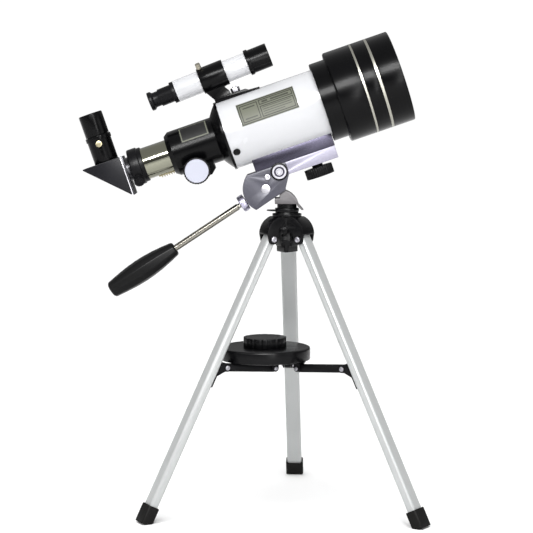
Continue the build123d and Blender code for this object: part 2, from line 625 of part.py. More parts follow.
with BuildPart() as mount_knob:
    with BuildSketch(KNOB) as grip:
        Circle(14.55)
        with PolarLocations(14.9, 36):
            Circle(0.75, mode=Mode.SUBTRACT)
    extrude(grip.sketch, amount=9.9)
    rod(KNOB.offset(9.9), 5.6, 12.4)
    rod(KNOB.offset(9.9), 3.1, 22.8)
save(mount_knob, "mount_knob")

# ---------------------------------------------------------------- pan head

NECK_Z = 315.5
NECK_HALF = 12.6
PLATE_Z = 305.4
LEVER_Z = 307.2
DRUM_Z = 311.1
PAN_BOLT_R = 4.0

with BuildPart() as pan_neck:
    with BuildSketch(Plane.XZ) as section:
        with BuildLine():
            Polyline((10.4, NECK_Z), (-12.4, NECK_Z), (-12.4, 321.4), (-7.6, 321.4), (-7.6, TILT_Z),
                     (-1.3, TILT_Z), (-1.3, 329.07))
            ThreePointArc((-1.3, 329.07), (6.7, 324.2), (11.96, 315.0))
            Polyline((11.96, 315.0), (16.9, 309.4), (14.9, 309.4), (10.4, 313.4), (10.4, NECK_Z))
        make_face()
        with Locations((TILT_X, TILT_Z)):
            Circle(6.5)
            Circle(BOLT_R + RUNNING, mode=Mode.SUBTRACT)
    extrude(section.sketch, amount=NECK_HALF, both=True)
    rod(Plane.XY.offset(300), PAN_BOLT_R + RUNNING, 24, Mode.SUBTRACT)
save(pan_neck, "pan_neck")

with BuildPart() as pan_lever:
    rod(Plane.XY.offset(LEVER_Z), 12.3, DRUM_Z - LEVER_Z - GAP)
    with BuildSketch(Plane.XZ) as blade:
        with BuildLine():
            Polyline((-8, LEVER_Z), (-19.6, LEVER_Z + 0.8), (-20.9, LEVER_Z + 1.3), (-19.6, LEVER_Z + 1.9),
                     (-8, LEVER_Z + 1.9), (-8, LEVER_Z))
        make_face()
    extrude(blade.sketch, amount=5.0, both=True)
    rod(Plane.XY.offset(300), PAN_BOLT_R + RUNNING, 20, Mode.SUBTRACT)
save(pan_lever, "pan_lever")

with BuildPart() as pan_spindle:
    rod(Plane.XY.offset(292), PAN_BOLT_R, 28.2)
    rod(Plane.XY.offset(DRUM_Z), 10.0, NECK_Z - GAP - DRUM_Z)
save(pan_spindle, "pan_spindle")

# ---------------------------------------------------------------- tripod crown and legs

lean = radians(SPREAD)
HOOD_HALF = 10.6
BOSS_AZIMUTH = 257.0
BOSS_Z = 288.6
BOSS_R = 16.1
POCKET_HALF = LEG_WIDE / 2 + GAP

with BuildPart() as crown:
    with BuildSketch(Plane.XZ) as section:
        with BuildLine():
            Polyline((0, 272), (0, PLATE_Z + 1.5), (11.8, PLATE_Z + 1.5), (11.8, PLATE_Z),
                     (14.9, PLATE_Z), (14.9, 302.6), (13.2, 302.0))
            ThreePointArc((13.2, 302.0), (12.2, 290), (13.6, 278))
            Polyline((13.6, 278), (11.0, 272), (0, 272))
        make_face()
    revolve(section.sketch, axis=Axis.Z)
    for azimuth in LEG_AZIMUTHS.values():
        flat = radial_plane(azimuth)
        with BuildSketch(flat) as arm:
            with BuildLine():
                Polyline((4, 302.4), (14.2, 302.4))
                ThreePointArc((14.2, 302.4), (22.3, 296.6), (26.7, 285.2))
                Line((26.7, 285.2), (25.7, HINGE_Z))
                ThreePointArc((25.7, HINGE_Z), (HINGE_R, HINGE_Z - 5.3), (15.1, HINGE_Z))
                Polyline((15.1, HINGE_Z), (12, 286), (4, 286), (4, 302.4))
            make_face()
        extrude(arm.sketch, amount=HOOD_HALF, both=True)
    with BuildSketch(Plane.XY.offset(266)) as block:
        RegularPolygon(14.6, 3, rotation=LEG_AZIMUTHS["back"] + 60)
        fillet(block.vertices(), 2.6)
    extrude(block.sketch, amount=24)
    for azimuth in LEG_AZIMUTHS.values():
        pocket = [(9.6, 262), (9.6, 292.2), (21.2, 292.2), (24.6, 284.4), (40, 284.4), (40, 262)]
        prism(radial_plane(azimuth), pocket, POCKET_HALF, Mode.SUBTRACT)
        with BuildSketch(radial_plane(azimuth, HINGE_R, HINGE_Z)) as pin_hole:
            Circle(2.0)
        extrude(pin_hole.sketch, amount=14, both=True, mode=Mode.SUBTRACT)
    rod(Plane.XY.offset(291), PAN_BOLT_R, 20, Mode.SUBTRACT)
    rod(facing(BOSS_AZIMUTH, 10, BOSS_Z), 3.9, BOSS_R - 10)
    rod(facing(BOSS_AZIMUTH, 10, BOSS_Z), 1.5, BOSS_R - 8, Mode.SUBTRACT)
save(crown, "crown")

with BuildPart() as hinge_screws:
    rod(facing(BOSS_AZIMUTH, 10, BOSS_Z), 1.5, BOSS_R - 10)
    rod(facing(BOSS_AZIMUTH, BOSS_R, BOSS_Z), 2.7, 1.2)
    for azimuth in LEG_AZIMUTHS.values():
        hinge = radial_plane(azimuth, HINGE_R, HINGE_Z)
        with BuildSketch(hinge) as shank:
            Circle(2.0)
        extrude(shank.sketch, amount=HOOD_HALF + 0.6, both=True)
        for side in (1, -1):
            with BuildSketch(hinge.offset(side * (HOOD_HALF + 0.7))) as head:
                Circle(2.9)
            extrude(head.sketch, amount=0.7, both=True)
save(hinge_screws, "hinge_screws")

for name, azimuth in LEG_AZIMUTHS.items():
    leg_plane = radial_plane(azimuth, HINGE_R, HINGE_Z, SPREAD)
    with BuildPart() as leg:
        with BuildSketch(Plane(origin=leg_plane.from_local_coords(Vector(0, LEG_TOP, 0)),
                               x_dir=leg_plane.x_dir, z_dir=leg_plane.y_dir * -1)) as tube:
            Rectangle(LEG_DEEP, LEG_WIDE)
            chamfer(tube.vertices(), 1.6)
            offset(amount=-1.1, mode=Mode.SUBTRACT)
        extrude(tube.sketch, amount=LEG_CUT + LEG_TOP)
        with BuildSketch(leg_plane) as hinge_bore:
            Circle(2.0 + RUNNING)
        extrude(hinge_bore.sketch, amount=12, both=True, mode=Mode.SUBTRACT)
        with BuildSketch(leg_plane) as above:
            with Locations((0, LEG_TOP / 2)):
                Rectangle(2 * LEG_TOP + 2, LEG_TOP + 0.1)
            Circle(LEG_TOP, mode=Mode.SUBTRACT)
        extrude(above.sketch, amount=12, both=True, mode=Mode.SUBTRACT)
    save(leg, f"leg_{name}")

    with BuildPart() as cap:
        half_deep = LEG_DEEP / 2 + CAP_WALL
        with BuildSketch(Plane(origin=leg_plane.from_local_coords(Vector(0, -CAP_TOP, 0)),
                               x_dir=leg_plane.x_dir, z_dir=leg_plane.y_dir * -1)) as shoe:
            RectangleRounded(2 * half_deep, LEG_WIDE + 2 * CAP_WALL, 2.0)
        extrude(shoe.sketch, amount=CAP_END - CAP_TOP)
        with BuildSketch(Plane(origin=leg_plane.from_local_coords(Vector(0, -CAP_TOP, 0)),
                               x_dir=leg_plane.x_dir, z_dir=leg_plane.y_dir * -1)) as bore:
            Rectangle(LEG_DEEP, LEG_WIDE)
            chamfer(bore.vertices(), 1.6)
        extrude(bore.sketch, amount=LEG_CUT - CAP_TOP, mode=Mode.SUBTRACT)
        split(bisect_by=Plane.XY, keep=Keep.TOP)
    save(cap, f"foot_cap_{name}")

    pin_plane = shifted(leg_plane, -PIN_IN, -PIN_DOWN)
    back = PIN_IN - LEG_DEEP / 2
    with BuildPart() as bracket:
        prism(pin_plane, [(back, 3), (back - 2.4, 3), (back - 2.4, -24.5), (back, -24.5)], BRACKET_HALF)
        prism(pin_plane, [(back - 2.4, 3), (0.5, 4.2), (-3.2, 3.0), (-4.2, 0), (-3.2, -3.0), (0.5, -4.6),
                          (back - 2.4, -12)], BRACKET_HALF)
        prism(pin_plane, [(back - 2.4, 10), (-20, 10), (-20, -14), (back - 2.4, -14)],
              BRACE_HALF_WIDTH + GAP, Mode.SUBTRACT)
        with BuildSketch(pin_plane) as pin:
            Circle(PIN_R)
        extrude(pin.sketch, amount=BRACKET_HALF, both=True)
        for side in (1, -1):
            with BuildSketch(pin_plane.offset(side * (BRACKET_HALF + 0.3))) as head:
                Circle(2.3)
            extrude(head.sketch, amount=0.3, both=True)
    save(bracket, f"brace_bracket_{name}")

    pin_at = (HINGE_R + PIN_DOWN * sin(lean) - PIN_IN * cos(lean),
              HINGE_Z - PIN_DOWN * cos(lean) - PIN_IN * sin(lean))
    brace_length = hypot(pin_at[0] - BRACE_HUB_R, pin_at[1] - BRACE_HUB_Z)
    brace_dip = degrees(asin((pin_at[1] - BRACE_HUB_Z) / brace_length))
    brace_plane = radial_plane(azimuth, pin_at[0], pin_at[1], brace_dip)
    with BuildPart() as brace:
        with BuildSketch(brace_plane) as bar:
            with BuildLine():
                Polyline((3.2, 2.4), (3.2, -2.4), (1.6, -BRACE_HALF_DEEP),
                         (1 - brace_length, -BRACE_HALF_DEEP),
                         (-2.4 - brace_length, -2.0), (-2.4 - brace_length, 2.0),
                         (1 - brace_length, BRACE_HALF_DEEP), (1.6, BRACE_HALF_DEEP), close=True)
            make_face()
        extrude(bar.sketch, amount=BRACE_HALF_WIDTH, both=True)
        with BuildSketch(brace_plane) as pin_bore:
            Circle(PIN_R + RUNNING)
        extrude(pin_bore.sketch, amount=8, both=True, mode=Mode.SUBTRACT)
    save(brace, f"brace_{name}")

# ---------------------------------------------------------------- spreader hub and tray

with BuildPart() as hub:
    rod(Plane.XY.offset(TRAY_Z - 3.6), 19.5, 3.3)
    for azimuth in LEG_AZIMUTHS.values():
        slot_r = BRACE_HUB_R - HUB_SLOT
        slot = [(slot_r, TRAY_Z), (slot_r, TRAY_Z - 5), (22, TRAY_Z - 5), (22, TRAY_Z)]
        prism(radial_plane(azimuth), slot, BRACE_HALF_WIDTH + GAP, Mode.SUBTRACT)
        ear = radial_plane(azimuth, BRACE_HUB_R, BRACE_HUB_Z)
        for side in (1, -1):
            with BuildSketch(ear.offset(side * (BRACE_HALF_WIDTH + GAP + 0.7))) as tab:
                with Locations((0, (TRAY_Z - 3 - BRACE_HUB_Z) / 2)):
                    Rectangle(7, TRAY_Z - 3 - BRACE_HUB_Z)
                Circle(3.5)
            extrude(tab.sketch, amount=0.7, both=True)
            with BuildSketch(ear.offset(side * (BRACE_HALF_WIDTH + GAP + 1.7))) as head:
                Circle(2.0)
            extrude(head.sketch, amount=0.3, both=True)
save(hub, "hub")

with BuildPart() as tray:
    with BuildSketch(Plane.XZ.offset(-TRAY_AT[1])) as section:
        with BuildLine():
            Polyline((TRAY_AT[0], TRAY_Z + TRAY_DEEP - 3), (TRAY_AT[0], TRAY_Z + TRAY_DEEP),
                     (TRAY_AT[0] + TRAY_R - 1.2, TRAY_Z + TRAY_DEEP),
                     (TRAY_AT[0] + TRAY_R, TRAY_Z + TRAY_DEEP - 1.2),
                     (TRAY_AT[0] + TRAY_R, TRAY_Z), (TRAY_AT[0] + TRAY_R - 2.2, TRAY_Z),
                     (TRAY_AT[0] + TRAY_R - 2.2, TRAY_Z + TRAY_DEEP - 3), close=True)
        make_face()
    revolve(section.sketch, axis=Axis((TRAY_AT[0], TRAY_AT[1], 0), (0, 0, 1)))
    rod(Plane.XY.offset(TRAY_Z), 21.0, TRAY_DEEP - 1)
    tray_axis = Plane(origin=(TRAY_AT[0], TRAY_AT[1], TRAY_Z + 2))
    rod(tray_axis, 4.0 + RUNNING, 20, Mode.SUBTRACT)
save(tray, "tray")

with BuildPart() as tray_knob:
    with BuildSketch(Plane(origin=(TRAY_AT[0], TRAY_AT[1], TRAY_Z + TRAY_DEEP + GAP))) as grip:
        Circle(TRAY_KNOB_R)
        with PolarLocations(TRAY_KNOB_R + 1.6, 18):
            Circle(2.4, mode=Mode.SUBTRACT)
    extrude(grip.sketch, amount=9.6)
    rod(Plane(origin=(TRAY_AT[0], TRAY_AT[1], TRAY_Z + 3)), 4.0, TRAY_DEEP - 2)
save(tray_knob, "tray_knob")
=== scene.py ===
import json
import math
import bpy
from mathutils import Matrix, Vector


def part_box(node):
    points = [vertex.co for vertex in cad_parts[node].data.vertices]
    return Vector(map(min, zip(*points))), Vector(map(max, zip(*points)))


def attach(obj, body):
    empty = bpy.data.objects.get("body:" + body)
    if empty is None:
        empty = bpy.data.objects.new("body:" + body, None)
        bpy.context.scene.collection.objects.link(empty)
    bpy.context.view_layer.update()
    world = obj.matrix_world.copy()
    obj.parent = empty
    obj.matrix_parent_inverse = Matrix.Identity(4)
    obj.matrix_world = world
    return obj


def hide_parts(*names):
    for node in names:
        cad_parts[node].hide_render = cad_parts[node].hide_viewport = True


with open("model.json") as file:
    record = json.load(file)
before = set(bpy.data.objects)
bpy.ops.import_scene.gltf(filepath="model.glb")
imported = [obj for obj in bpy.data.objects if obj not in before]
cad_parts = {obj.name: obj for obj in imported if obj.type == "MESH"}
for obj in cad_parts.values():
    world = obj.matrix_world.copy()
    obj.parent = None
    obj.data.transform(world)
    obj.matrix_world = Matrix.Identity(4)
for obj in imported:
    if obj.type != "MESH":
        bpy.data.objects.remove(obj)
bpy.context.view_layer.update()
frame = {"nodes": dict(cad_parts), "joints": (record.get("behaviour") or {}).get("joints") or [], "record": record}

nodes = frame["nodes"]
record = frame["record"]
body_of = {node: body for body, members in record["behaviour"]["bodies"].items() for node in members}
joints = {joint["name"]: joint for joint in frame["joints"]}
MM = 0.001
BACK, LEFT, RIGHT = "back", "left", "right"


def joint_point(name):
    """Where a joint's axis passes, in metres."""
    return Vector(joints[name]["pos_m"])


def joint_axis(name):
    """The direction of a joint's axis."""
    return Vector(joints[name]["axis"]).normalized()


# Directions of the optical tube: along it, up from it, and towards the near side.
ALONG = joint_axis("diagonal_turn")
NEAR = Vector((0, -1, 0))
UP = NEAR.cross(ALONG)
ADAPTER_AT = -140.0
AXIS_START = joint_point("diagonal_turn") - ALONG * ADAPTER_AT * MM


def tube_point(along, up, near=0.0):
    """A point of the optical tube, from distances in millimetres."""
    return AXIS_START + (ALONG * along + UP * up + NEAR * near) * MM


# ------------------------------------------------------------------ surface effects

def new_group(name, inputs, outputs):
    """A shader node group with its sockets, and its input and output nodes."""
    group = bpy.data.node_groups.new(name, "ShaderNodeTree")
    for socket_name, kind, value in inputs:
        socket = group.interface.new_socket(socket_name, in_out="INPUT", socket_type=kind)
        socket.default_value = value
    for socket_name, kind in outputs:
        group.interface.new_socket(socket_name, in_out="OUTPUT", socket_type=kind)
    return group, group.nodes.new("NodeGroupInput"), group.nodes.new("NodeGroupOutput")


def math_node(tree, operation, first, second=None, third=None):
    """A Math node; each operand is a socket or a number."""
    node = tree.nodes.new("ShaderNodeMath")
    node.operation = operation
    for slot, value in enumerate((first, second, third)):
        if value is None:
            continue
        if isinstance(value, (int, float)):
            node.inputs[slot].default_value = value
        else:
            tree.links.new(value, node.inputs[slot])
    return node.outputs[0]


def handled_surface():
    """Soft smudges in the roughness, faint unevenness of colour, and a fine grain."""
    group, start, end = new_group(
        "handled surface",
        [("Color", "NodeSocketColor", (0.5, 0.5, 0.5, 1)),
         ("Shade", "NodeSocketColor", (0.4, 0.4, 0.4, 1)),
         ("Roughness", "NodeSocketFloat", 0.4),
         ("Smudge", "NodeSocketFloat", 0.1),
         ("Grain Scale", "NodeSocketFloat", 900.0),
         ("Blotch Scale", "NodeSocketFloat", 35.0)],
        [("Color", "NodeSocketColor"), ("Roughness", "NodeSocketFloat"), ("Grain", "NodeSocketFloat")])
    place = group.nodes.new("ShaderNodeTexCoord")
    blotch = group.nodes.new("ShaderNodeTexNoise")
    blotch.inputs["Detail"].default_value = 4.0
    grain = group.nodes.new("ShaderNodeTexNoise")
    grain.inputs["Detail"].default_value = 3.0
    mix = group.nodes.new("ShaderNodeMix")
    mix.data_type = "RGBA"
    links = group.links
    links.new(place.outputs["Object"], blotch.inputs["Vector"])
    links.new(start.outputs["Blotch Scale"], blotch.inputs["Scale"])
    links.new(place.outputs["Object"], grain.inputs["Vector"])
    links.new(start.outputs["Grain Scale"], grain.inputs["Scale"])
    links.new(blotch.outputs["Fac"], mix.inputs["Factor"])
    links.new(start.outputs["Color"], mix.inputs["A"])
    links.new(start.outputs["Shade"], mix.inputs["B"])
    swing = math_node(group, "SUBTRACT", blotch.outputs["Fac"], 0.5)
    rough = math_node(group, "MULTIPLY_ADD", swing, start.outputs["Smudge"], start.outputs["Roughness"])
    links.new(mix.outputs["Result"], end.inputs["Color"])
    links.new(rough, end.inputs["Roughness"])
    links.new(grain.outputs["Fac"], end.inputs["Grain"])
    return group


def drawn_lines():
    """Fine lines that run along a direction, as on drawn or turned metal."""
    group, start, end = new_group(
        "drawn lines",
        [("Along", "NodeSocketVector", (0, 0, 1)),
         ("Scale", "NodeSocketFloat", 700.0),
         ("Stretch", "NodeSocketFloat", 0.985)],
        [("Lines", "NodeSocketFloat")])
    place = group.nodes.new("ShaderNodeTexCoord")
    dot = group.nodes.new("ShaderNodeVectorMath")
    dot.operation = "DOT_PRODUCT"
    back = group.nodes.new("ShaderNodeVectorMath")
    back.operation = "SCALE"
    squeeze = group.nodes.new("ShaderNodeVectorMath")
    squeeze.operation = "SUBTRACT"
    noise = group.nodes.new("ShaderNodeTexNoise")
    noise.inputs["Detail"].default_value = 2.0
    links = group.links
    links.new(place.outputs["Object"], dot.inputs[0])
    links.new(start.outputs["Along"], dot.inputs[1])
    links.new(start.outputs["Along"], back.inputs[0])
    taken_back = math_node(group, "MULTIPLY", dot.outputs["Value"], start.outputs["Stretch"])
    links.new(taken_back, back.inputs["Scale"])
    links.new(place.outputs["Object"], squeeze.inputs[0])
    links.new(back.outputs["Vector"], squeeze.inputs[1])
    links.new(squeeze.outputs["Vector"], noise.inputs["Vector"])
    links.new(start.outputs["Scale"], noise.inputs["Scale"])
    links.new(noise.outputs["Fac"], end.inputs["Lines"])
    return group


HANDLED = handled_surface()
DRAWN = drawn_lines()


COAT_ROUGHNESS = 0.05
BUMP_DEPTH = 0.3 * MM


def finish(name, color, shade, roughness, smudge=0.1, metallic=0.0, coat=0.0, specular=0.5,
           grain=0.05, grain_scale=900.0, blotch_scale=35.0,
           along=None, line_depth=0.2, line_scale=700.0):
    """A material of one real finish; along gives it drawn lines in that direction."""
    material = bpy.data.materials.new(name)
    material.use_nodes = True
    tree = material.node_tree
    shader = tree.nodes["Principled BSDF"]
    shader.inputs["Metallic"].default_value = metallic
    shader.inputs["Coat Weight"].default_value = coat
    shader.inputs["Coat Roughness"].default_value = COAT_ROUGHNESS
    shader.inputs["Specular IOR Level"].default_value = specular
    surface = tree.nodes.new("ShaderNodeGroup")
    surface.node_tree = HANDLED
    surface.inputs["Color"].default_value = (*color, 1)
    surface.inputs["Shade"].default_value = (*shade, 1)
    surface.inputs["Roughness"].default_value = roughness
    surface.inputs["Smudge"].default_value = smudge
    surface.inputs["Grain Scale"].default_value = grain_scale
    surface.inputs["Blotch Scale"].default_value = blotch_scale
    bump = tree.nodes.new("ShaderNodeBump")
    bump.inputs["Distance"].default_value = BUMP_DEPTH
    tree.links.new(surface.outputs["Color"], shader.inputs["Base Color"])
    tree.links.new(bump.outputs["Normal"], shader.inputs["Normal"])
    if along is None:
        tree.links.new(surface.outputs["Roughness"], shader.inputs["Roughness"])
        tree.links.new(surface.outputs["Grain"], bump.inputs["Height"])
        bump.inputs["Strength"].default_value = grain
    else:
        lines = tree.nodes.new("ShaderNodeGroup")
        lines.node_tree = DRAWN
        lines.inputs["Along"].default_value = along
        lines.inputs["Scale"].default_value = line_scale
        spread = math_node(tree, "SUBTRACT", lines.outputs["Lines"], 0.5)
        rough = math_node(tree, "MULTIPLY_ADD", spread, line_depth, surface.outputs["Roughness"])
        tree.links.new(rough, shader.inputs["Roughness"])
        tree.links.new(lines.outputs["Lines"], bump.inputs["Height"])
        bump.inputs["Strength"].default_value = line_depth
    return material


def dress(material, *names):
    """Give these CAD nodes the material."""
    for name in names:
        piece = nodes[name]
        piece.data.materials.clear()
        piece.data.materials.append(material)


# ------------------------------------------------------------------ materials

white_paint = finish("white gloss paint", (0.53, 0.535, 0.55), (0.5, 0.505, 0.525), 0.26, 0.06,
                     coat=0.15, grain=0.002, grain_scale=1500)
black_paint = finish("black gloss paint", (0.001, 0.001, 0.0012), (0.002, 0.002, 0.0025), 0.2, 0.04,
                     specular=0.1, grain=0.02, grain_scale=1500)
black_moulding = finish("black moulded plastic", (0.0015, 0.0015, 0.002), (0.003, 0.003, 0.0035),
                        0.26, 0.06, specular=0.12, grain=0.04, grain_scale=1300)
black_satin = finish("satin black plastic", (0.0025, 0.0025, 0.003), (0.006, 0.006, 0.007), 0.34,
                     0.1, specular=0.08, grain=0.1, grain_scale=1600)
black_rubber = finish("black rubber", (0.004, 0.004, 0.004), (0.009, 0.0085, 0.008), 0.55, 0.2,
                      specular=0.07, grain=0.5, grain_scale=1800)
grip_plastic = finish("grip plastic", (0.0025, 0.0025, 0.0025), (0.006, 0.006, 0.0065), 0.36, 0.12,
                      specular=0.1, grain=0.15, grain_scale=1700)
matt_inside = finish("matt black inside", (0.008, 0.008, 0.008), (0.012, 0.012, 0.012), 0.85, 0.1,
                     specular=0.15, grain=0.3, grain_scale=2400)
housing_paint = finish("satin dark paint", (0.004, 0.004, 0.006), (0.009, 0.009, 0.012), 0.38, 0.1,
                       specular=0.1, grain=0.1, grain_scale=1900)
neck_cast = finish("brown grey casting", (0.085, 0.078, 0.083), (0.05, 0.045, 0.049), 0.5, 0.3,
                   metallic=0.15, grain=0.6, grain_scale=600, blotch_scale=120)
# Dark plating of the cradle; on the tilt bolt the same dark colour is painted shade in the recess round its
# button.
cradle_plating_and_recess_shade = finish("dark plated cradle", (0.05, 0.047, 0.066), (0.03, 0.028, 0.04), 0.28, 0.15,
                      metallic=1.0, along=tuple(ALONG), line_depth=0.06, line_scale=350)
bright_zinc = finish("bright zinc", (0.34, 0.335, 0.36), (0.27, 0.265, 0.29), 0.36, 0.12,
                     metallic=1.0, grain=0.02, grain_scale=900)
violet_zinc = finish("pale plated collar", (0.4, 0.385, 0.48), (0.29, 0.28, 0.36), 0.28, 0.2,
                     metallic=0.9, grain=0.03, grain_scale=900)
tube_chrome = finish("polished chrome tube", (0.24, 0.24, 0.19), (0.19, 0.19, 0.15), 0.1, 0.08,
                     metallic=1.0, along=tuple(ALONG), line_depth=0.03, line_scale=400)
rod_steel = finish("drawn steel rod", (0.24, 0.23, 0.2), (0.18, 0.17, 0.15), 0.2, 0.12,
                   metallic=1.0, along=tuple(joint_axis("handle_twist")), line_depth=0.05)
rack_brass = finish("cut brass", (0.34, 0.31, 0.2), (0.25, 0.22, 0.14), 0.3, 0.2, metallic=1.0,
                    grain=0.05)
nickel = finish("nickel screw", (0.36, 0.34, 0.28), (0.24, 0.22, 0.18), 0.26, 0.2, metallic=1.0,
                grain=0.05)
silver_band = finish("silver band", (0.36, 0.355, 0.31), (0.3, 0.295, 0.26), 0.3, 0.1, metallic=0.9,
                     grain=0.03)
knob_grey = finish("pale grey knob face", (0.43, 0.44, 0.52), (0.4, 0.41, 0.48), 0.42, 0.1,
                   specular=0.3, grain=0.06, grain_scale=1500)


def leg_finish(name):
    """Satin anodised tube with faint drawn lines along the leg."""
    low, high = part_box("foot_cap_" + name)
    foot = (low + high) / 2
    run = (foot - joint_point("fold_" + name)).normalized()
    return finish("satin leg tube " + name, (0.41, 0.42, 0.42), (0.37, 0.38, 0.38), 0.4, 0.1,
                  metallic=0.15, along=tuple(run), line_depth=0.12, line_scale=900)


dress(white_paint, "main_tube", "finder_tube")
dress(black_paint, "objective_cell", "dew_shield", "finder_hood", "focuser_body", "finder_bracket",
      "eyepiece", "diagonal_socket")
dress(black_moulding, "crown", "tray", "tray_knob", "pan_lever", "pan_spindle", "flange_screws",
      "focus_knobs")
dress(black_satin, "tilt_washer", "mount_knob", "adapter_ring", "hub", "adapter_screw",
      "finder_eyepiece")
for name in (BACK, LEFT, RIGHT):
    dress(black_satin, "brace_" + name, "brace_bracket_" + name)
    dress(black_rubber, "foot_cap_" + name)
    dress(leg_finish(name), "leg_" + name)
dress(grip_plastic, "handle_grip")
dress(matt_inside, "lens_ring")
dress(housing_paint, "diagonal_housing")
dress(neck_cast, "pan_neck")
# The tilt bolt takes the dark cradle plating so that the ring between its bright rim and button reads dark:
# painted shade in that recess.
dress(cradle_plating_and_recess_shade, "tube_saddle", "tilt_bolt")
dress(bright_zinc, "stop_screw", "lock_pin", "hinge_screws", "pinion_shaft", "finder_nut")
dress(violet_zinc, "handle_ferrule")
dress(tube_chrome, "drawtube")
dress(rod_steel, "handle_rod")
dress(rack_brass, "focus_rack", "socket_screw")
dress(nickel, "finder_screw")
dress(silver_band, "shield_bands")


DUST_SCALE = 120.0
DUST_ROUGHNESS = 0.06


def glass_finish():
    """Coated optical glass, faintly blue green at glancing angles."""
    material = bpy.data.materials.new("coated glass")
    material.use_nodes = True
    tree = material.node_tree
    shader = tree.nodes["Principled BSDF"]
    shader.inputs["Base Color"].default_value = (0.86, 0.93, 0.97, 1)
    shader.inputs["Transmission Weight"].default_value = 1.0
    shader.inputs["IOR"].default_value = 1.5
    shader.inputs["Coat Weight"].default_value = 0.6
    shader.inputs["Coat Tint"].default_value = (0.55, 0.75, 0.95, 1)
    dust = tree.nodes.new("ShaderNodeTexNoise")
    place = tree.nodes.new("ShaderNodeTexCoord")
    tree.links.new(place.outputs["Object"], dust.inputs["Vector"])
    dust.inputs["Scale"].default_value = DUST_SCALE
    rough = math_node(tree, "MULTIPLY", dust.outputs["Fac"], DUST_ROUGHNESS)
    tree.links.new(rough, shader.inputs["Roughness"])
    return material


dress(glass_finish(), "objective_lenses", "finder_objective", "finder_eye_lens",
      "eyepiece_lenses", "diagonal_prism")


def tube_coordinates(tree):
    """Sockets that give the distance along the tube and up from its axis, in millimetres."""
    place = tree.nodes.new("ShaderNodeTexCoord")
    from_start = tree.nodes.new("ShaderNodeVectorMath")
    from_start.operation = "SUBTRACT"
    from_start.inputs[1].default_value = AXIS_START
    tree.links.new(place.outputs["Object"], from_start.inputs[0])
    sockets = []
    for direction in (ALONG, UP):
        dot = tree.nodes.new("ShaderNodeVectorMath")
        dot.operation = "DOT_PRODUCT"
        dot.inputs[1].default_value = direction / MM
        tree.links.new(from_start.outputs["Vector"], dot.inputs[0])
        sockets.append(dot.outputs["Value"])
    return sockets


def second_color(material, mask, color):
    """Give a material another colour wherever the mask is 1."""
    tree = material.node_tree
    base_color = tree.nodes["Principled BSDF"].inputs["Base Color"]
    mix = tree.nodes.new("ShaderNodeMix")
    mix.data_type = "RGBA"
    mix.inputs["B"].default_value = (*color, 1)
    tree.links.new(mask, mix.inputs["Factor"])
    tree.links.new(base_color.links[0].from_socket, mix.inputs["A"])
    tree.links.new(mix.outputs["Result"], base_color)


def inside(tree, along, up, rectangle):
    """A mask of a rectangle (rear, low, front, high)."""
    rear, low, front, high = rectangle
    masks = []
    for distance, lowest, highest in ((along, rear, front), (up, low, high)):
        above = math_node(tree, "GREATER_THAN", distance, lowest)
        below = math_node(tree, "LESS_THAN", distance, highest)
        masks.append(math_node(tree, "MULTIPLY", above, below))
    return math_node(tree, "MULTIPLY", masks[0], masks[1])


def ruled_frame(tree, along, up, rectangle, width):
    """A mask of a rule of this width round the inside of a rectangle."""
    rear, low, front, high = rectangle
    outer = inside(tree, along, up, rectangle)
    inner = inside(tree, along, up, (rear + width, low + width, front - width, high - width))
    return math_node(tree, "SUBTRACT", outer, inner)


# Rectangles on the plates, in millimetres along the tube and up from its axis.
TUBE_PLATE_FRAMES = ((-19.4, 4.2, 39.6, 25.1), (-17.4, 6.2, 1.2, 23.2), (2.8, 18.6, 37.8, 23.6),
                     (2.8, 6.2, 37.8, 17.4))
FOCUSER_PLATE_FRAME = (-82.8, 8.3, -54.6, 22.6)
PRINT_BARS = ((6.0, 20.2, 12.0, 22.0), (15.0, 20.2, 34.0, 21.8), (5.0, 15.2, 35.0, 15.9),
              (5.0, 13.0, 35.0, 13.7), (5.0, 10.8, 35.0, 11.5), (5.0, 8.6, 27.0, 9.3),
              (-14.4, 8.8, -1.8, 10.0), (-14.4, 19.4, -1.8, 20.6))
TUBE_RULE = 0.8
TUBE_RULE_INK = 0.85
BAR_INK = 0.7
FOCUSER_RULE = 1.1
BETWEEN_PLATES = -50.0
PRINT_BLACK = (0.012, 0.012, 0.012)


def plate_finish():
    """The two printed plates: rules and plain bars on dull silver, and one bright rule on black."""
    material = finish("printed plate", (0.13, 0.137, 0.103), (0.11, 0.114, 0.086), 0.5, 0.1,
                      specular=0.15, grain=0.02)
    tree = material.node_tree
    along, up = tube_coordinates(tree)
    ink = None
    for rectangle in TUBE_PLATE_FRAMES:
        rule = ruled_frame(tree, along, up, rectangle, TUBE_RULE)
        mask = math_node(tree, "MULTIPLY", rule, TUBE_RULE_INK)
        ink = mask if ink is None else math_node(tree, "MAXIMUM", ink, mask)
    for bar in PRINT_BARS:
        mask = math_node(tree, "MULTIPLY", inside(tree, along, up, bar), BAR_INK)
        ink = math_node(tree, "MAXIMUM", ink, mask)
    bright_rule = ruled_frame(tree, along, up, FOCUSER_PLATE_FRAME, FOCUSER_RULE)
    focuser_plate = math_node(tree, "LESS_THAN", along, BETWEEN_PLATES)
    black_field = math_node(tree, "SUBTRACT", focuser_plate, bright_rule)
    second_color(material, math_node(tree, "MAXIMUM", ink, black_field), PRINT_BLACK)
    return material


dress(plate_finish(), "label_plates")

PLATE_EDGE = -147.1
# Pale colour of the painted highlight along the diagonal plate's edge towards the housing.
EDGE_HIGHLIGHT_PAINT = (0.75, 0.74, 0.78)
CHEEK_FRONT = 9.2
CHANNEL_PLATING = (0.25, 0.24, 0.31)


